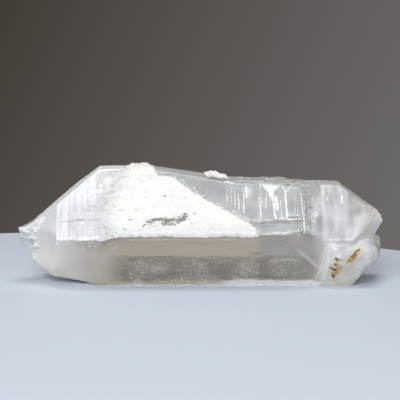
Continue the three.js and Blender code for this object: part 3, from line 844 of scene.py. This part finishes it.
def build_cracks(material):
    """Hairline cracks: flat strips up to 0.26 mm wide along jagged paths on the left front face, laid
    onto the crystal."""
    # x and up of both ends
    table = np.array([
        (-42.7, -0.9, -33.4, 0.1), (-38.8, -0.5, -32, 0.2), (-35.8, 3.5, -31, 2.7), (-33.5, 4.5, -30, 4.2),
        (-34.5, 0.3, -30, 0.1),
    ])
    x0, up0, x1, up1 = table.T[..., None, None]
    share = np.linspace(0, 1, CRACK_ROWS)[None, :, None]
    edge = np.array([-0.5, 0.5])[None, None, :]
    order = np.arange(len(table))[:, None, None]
    x = x0 + (x1 - x0) * share
    ends = step(share, 0, 0.15) * fall(share, 0.85, 1)
    width = 0.26 * ends * step(rough(x, 9 * order, 0.9, 131), -0.5, 0.4)
    up = up0 + (up1 - up0) * share + 0.4 * rough(x, 5 * order, 2.4, 132, 6) + edge * width
    laid = pushed(settled(on_side("upper", x, up, 0.09).reshape(-1, 3)), "upper", 0.06)
    new_piece("hairline_cracks", laid, grid_faces(CRACK_ROWS, 2, len(table)), material, "clear_quartz")


def build_outlines(material):
    """Faint outlines of growth plates on the lower front side: flat strips up to 0.12 mm wide along
    bent paths, laid onto the crystal."""
    # corners of each path: x and up
    paths = (
        ((-35.9, -1.8), (-35.5, 0.6), (-33.1, 2), (-31.6, 0.8)),
        ((-35.3, -2.1), (-33.9, -3.7), (-31.5, -4)),
        ((-28.5, -2.8), (-26.7, -3.4), (-25.3, -5.3), (-23.7, -3.6), (-21.9, -3.6), (-21.1, -5.7)),
        ((-24.8, -9.1), (-24.7, -7.3), (-23.2, -7.7), (-21.7, -7.5)),
    )
    share = np.linspace(0, 1, OUTLINE_ROWS)
    strips = []
    for order, path in enumerate(paths):
        stops = np.linspace(0, 1, len(path))
        line = np.stack([np.interp(share, stops, corners) for corners in np.array(path).T], -1)
        line += 0.25 * np.stack([noise(share * 9, 5 * order, 1, 150 + k) for k in (0, 1)], -1)
        aside = np.gradient(line, axis=0)[:, ::-1] * (-1, 1)
        aside *= 0.06 * np.sin(math.pi * share)[:, None] / np.linalg.norm(aside, axis=-1, keepdims=True)
        strips.append(np.stack([line - aside, line + aside], 1))
    x, up = np.reshape(strips, (-1, 2)).T
    laid = settled(on_side("lower", x, up, 0), -OUT["lower"])
    laid = pushed(laid, "lower", 0.03)
    new_piece("growth_outlines", laid, grid_faces(OUTLINE_ROWS, 2, len(paths)), material, "clear_quartz")


def build_stain(material):
    """Iron stain lying in the grooves of the small crystal: crumbs bunched along short lines."""
    # both ends of each line in own x and z, its spread, and its count
    lines = (
        ((44, 10.1), (46.9, 12.4), 0.25, 46), ((44.4, 9.7), (45.6, 10.6), 0.5, 12),
        ((38.1, 6.7), (40.1, 5.6), 0.35, 44), ((39.2, 4.3), (39.4, 3.3), 0.9, 34),
        ((39.6, 9.8), (40.2, 9.4), 0.5, 22), ((39.6, 8), (39.9, 7.6), 0.5, 22),
        ((40.5, 9.2), (41.8, 9.4), 0.8, 10),
    )
    centres = []
    for seed, (start, end, spread, count) in enumerate(lines, 141):
        share, *aside = draws(count, seed, 1, 2, 3)
        x, z = (a + (b - a) * share + spread * (by - 0.5) for a, b, by in zip(start, end, aside))
        centres.append(np.stack([x, 0 * x - 12, z], -1))
    centres = settled((np.concatenate(centres) + SHIFT) * MM)
    sizes = 0.07 + 0.3 * draws(len(centres), 143, 5)[0] ** 3
    new_piece("iron_stain", *lumps(centres, sizes, 144), material)


# The stage

FLOOR_SIDES = 192
LIGHTS = {  # size and place of each, m; the stage's settings give their powers
    "key": (0.6, (-0.2, -0.98, 0.64)),
    "overhead": (0.45, (0.05, -0.25, 1.1)),
    "fill": (0.7, (-0.1, -1, 0.35)),
    "back": (1.6, (0, 0.95, 0.5)),
    "left": (0.7, (-0.85, 0.2, 0.62)),
}
AIM = (0, 0, 0.015)  # where the lights point, m
TARGET = (-0.0003, -0.004, 0.02595)  # where the camera points, m
CAMERA_DISTANCE, LENS = 0.6, 181  # m and mm


def build_floor(settings):
    """The round table top, pale blue-grey and dull, with a rounded rim."""
    low, high = settings.edge_softness, settings.radius
    turn = np.linspace(0, math.pi / 2, 7)
    rim = np.stack([high - low + low * np.sin(turn), -low + low * np.cos(turn)], -1)
    foot = -settings.thickness
    profile = np.concatenate([[(0, 0), (high * 0.5, 0)], rim, [(high, foot), (0, foot)]])
    around = np.linspace(0, 2 * math.pi, FLOOR_SIDES, endpoint=False)
    far, height = profile[:, None, 0], profile[:, None, 1]
    x, y = settings.middle[0] + far * np.cos(around), settings.middle[1] + far * np.sin(around)
    points = np.stack([x, y, height + 0 * around], -1)
    faces = grid_faces(len(profile), FLOOR_SIDES, closed=True)[:, ::-1]
    material, tree, surface, place = new_material("pale_table_top")
    faint = noise_socket(tree, place, 40, detail=2)
    low, high = (setting_colour(settings.colour, share) for share in (0.985, 1))
    set_inputs(tree, surface, {"Base Color": mixed(tree, faint, low, high), "Roughness": 0.6})
    linked("table_top", grid_mesh("table_top", points, faces, material))


def setting_colour(colour, share=1):
    """The linear colour of a colour setting, darkened to a share of itself."""
    return linear("".join(f"{round(255 * min(c * share, 1)):02x}" for c in colour))


def build_world(settings):
    """A plain dark backdrop, a little lighter to the right and below."""
    world = bpy.data.worlds.new("studio")
    bpy.context.scene.world = world
    world.use_nodes = True
    tree = world.node_tree
    inputs = {0: add_node(tree, "TexCoord").outputs["Generated"], 1: (1, 0, -0.51)}
    lean = add_node(tree, "VectorMath", {"operation": "DOT_PRODUCT"}, inputs)
    inputs = {"Value": lean.outputs["Value"], "From Min": -0.062, "From Max": 0.197}
    share = add_node(tree, "MapRange", None, inputs).outputs[0]
    low, high = setting_colour(settings.backdrop_dark), setting_colour(settings.backdrop_light)
    tree.links.new(mixed(tree, share, low, high), tree.nodes["Background"].inputs["Color"])


def build_lights(settings):
    """Large soft boxes: the key from the front left and above, one overhead, a low fill, one behind
    and one at the left."""
    for name, (size, place) in LIGHTS.items():
        light = bpy.data.lights.new(name, "AREA")
        light.size, light.energy = size, getattr(settings, name)
        lamp = linked(name, light)
        lamp.location = place
        lamp.rotation_euler = (Vector(AIM) - Vector(place)).to_track_quat("-Z", "Y").to_euler()
        lamp.visible_camera = False


def build_camera():
    """A long lens from the front, 10 degrees above the table."""
    camera = linked("camera", bpy.data.cameras.new("camera"))
    back = Vector((0, -math.cos(math.radians(10)), math.sin(math.radians(10))))
    camera.location = Vector(TARGET) + back * CAMERA_DISTANCE
    camera.rotation_euler = (-back).to_track_quat("-Z", "Y").to_euler()
    camera.data.lens = LENS
    camera.data.clip_start, camera.data.clip_end = 0.01, 20
    bpy.context.scene.camera = camera


# Properties, operators and panel


def number(name, description, default, kind=FloatProperty, **more):
    """A setting with its name, what it does, and its default."""
    return kind(name=name, description=description, default=default, **more)


def power(lamp, default):
    """The power of a lamp."""
    return number(f"{lamp} light", f"Power of the {lamp.lower()} light", default, unit="POWER")


def shade(name, description, default):
    """A colour setting."""
    return number(name, description, default, FloatVectorProperty, size=3, subtype="COLOR_GAMMA")


class CrystalSettings(bpy.types.PropertyGroup):
    fine: number("Front edge length", "Longest mesh edge on the front, in mm", 0.5)
    coarse: number("Back edge length", "Longest mesh edge elsewhere, in mm", 1.6)
    relief: number("Relief", "Strength of the growth lines and swell", 1.0)


class CrustSettings(bpy.types.PropertyGroup):
    thickness: number("Thickness", "The crust's even layer, in mm", 0.95)
    rows: number("Rows", "Points up the crust", 200, IntProperty)
    columns: number("Columns", "Points along the crust", 400, IntProperty)


class StageSettings(bpy.types.PropertyGroup):
    radius: number("Table radius", "Radius of the table top", 0.185, unit="LENGTH")
    thickness: number("Table thickness", "Thickness of the table top", 0.02, unit="LENGTH")
    edge_softness: number("Rim radius", "Rounding of the rim", 0.003, unit="LENGTH")
    middle: number(
        "Table middle", "Its x and y", (-0.039, -0.102), FloatVectorProperty, size=2, unit="LENGTH"
    )
    colour: shade("Table colour", "Colour of the table top", (0.87, 0.91, 0.968))
    backdrop_dark: shade("Backdrop, left", "The backdrop's darker end", (0.259, 0.235, 0.212))
    backdrop_light: shade("Backdrop, right", "The backdrop's lighter end", (0.431, 0.416, 0.408))
    key: power("Key", 9.3)
    overhead: power("Overhead", 4.2)
    fill: power("Fill", 0.6)
    back: power("Back", 1.5)
    left: power("Left", 0.85)


class QUARTZ_OT_crystal(bpy.types.Operator):
    """Builds the crystal with its relief and its quartz material"""

    bl_idname = "quartz.crystal"
    bl_label = "Build Crystal"

    def execute(self, context):
        build_crystal(context.scene.quartz_crystal)
        return {"FINISHED"}


class QUARTZ_OT_crust(bpy.types.Operator):
    """Builds the white crust, its clump on the top edge and the crumbs about it"""

    bl_idname = "quartz.crust"
    bl_label = "Build Crust"

    def execute(self, context):
        material = crust_material()
        build_crust(context.scene.quartz_crust, material)
        build_clump(material)
        build_crumbs(grainy_material("white_crumbs", ("e8e8e4", "fbfbf9"), 0.3, 0.8))
        return {"FINISHED"}


class QUARTZ_OT_small_forms(bpy.types.Operator):
    """Builds the growth ridges and outlines, the hairline cracks and the iron stain"""

    bl_idname = "quartz.small_forms"
    bl_label = "Build Small Forms"

    def execute(self, context):
        build_ridges(grainy_material("frosted_quartz", ("eef0f2", "fdfdfd"), 0.5, 0.35))
        build_cracks(grainy_material("hairline_shadow", ("9a9ea3", "b9bcc0"), 0.8, 0.7))
        build_outlines(grainy_material("plate_outline", ("bab5ab", "cfcac0"), 0.8, 0.5))
        build_stain(grainy_material("iron_stain", ("40331c", "6a5a30", "8a6a3a", "b58a58"), 1.1, 0.85))
        return {"FINISHED"}


class QUARTZ_OT_stage(bpy.types.Operator):
    """Builds the table top, backdrop, lights and camera"""

    bl_idname = "quartz.stage"
    bl_label = "Build Stage"

    def execute(self, context):
        settings = context.scene.quartz_stage
        context.scene.view_settings.view_transform = "Standard"
        build_floor(settings)
        build_world(settings)
        build_lights(settings)
        build_camera()
        return {"FINISHED"}


class QUARTZ_PT_panel(bpy.types.Panel):
    """The quartz crystal's settings and build buttons"""

    bl_idname = "QUARTZ_PT_panel"
    bl_label = "Quartz"
    bl_space_type = "VIEW_3D"
    bl_region_type = "UI"
    bl_category = "Quartz"

    def draw(self, context):
        for key in GROUPS:
            group = getattr(context.scene, key)
            box = self.layout.box()
            for name in group.__annotations__:
                box.prop(group, name)
        for operator in OPERATORS:
            self.layout.operator(operator.bl_idname)


GROUPS = {"quartz_crystal": CrystalSettings, "quartz_crust": CrustSettings, "quartz_stage": StageSettings}
OPERATORS = (QUARTZ_OT_stage, QUARTZ_OT_crystal, QUARTZ_OT_crust, QUARTZ_OT_small_forms)
CLASSES = (*GROUPS.values(), *OPERATORS, QUARTZ_PT_panel)


def register():
    for cls in CLASSES:
        bpy.utils.register_class(cls)
    for name, group in GROUPS.items():
        setattr(bpy.types.Scene, name, PointerProperty(type=group))


def unregister():
    for name in GROUPS:
        delattr(bpy.types.Scene, name)
    for cls in reversed(CLASSES):
        bpy.utils.unregister_class(cls)


def main():
    register()
    bpy.ops.quartz.stage()
    bpy.ops.quartz.crystal()
    bpy.ops.quartz.crust()
    bpy.ops.quartz.small_forms()
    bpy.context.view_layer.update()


if __name__ == "__main__":
    main()
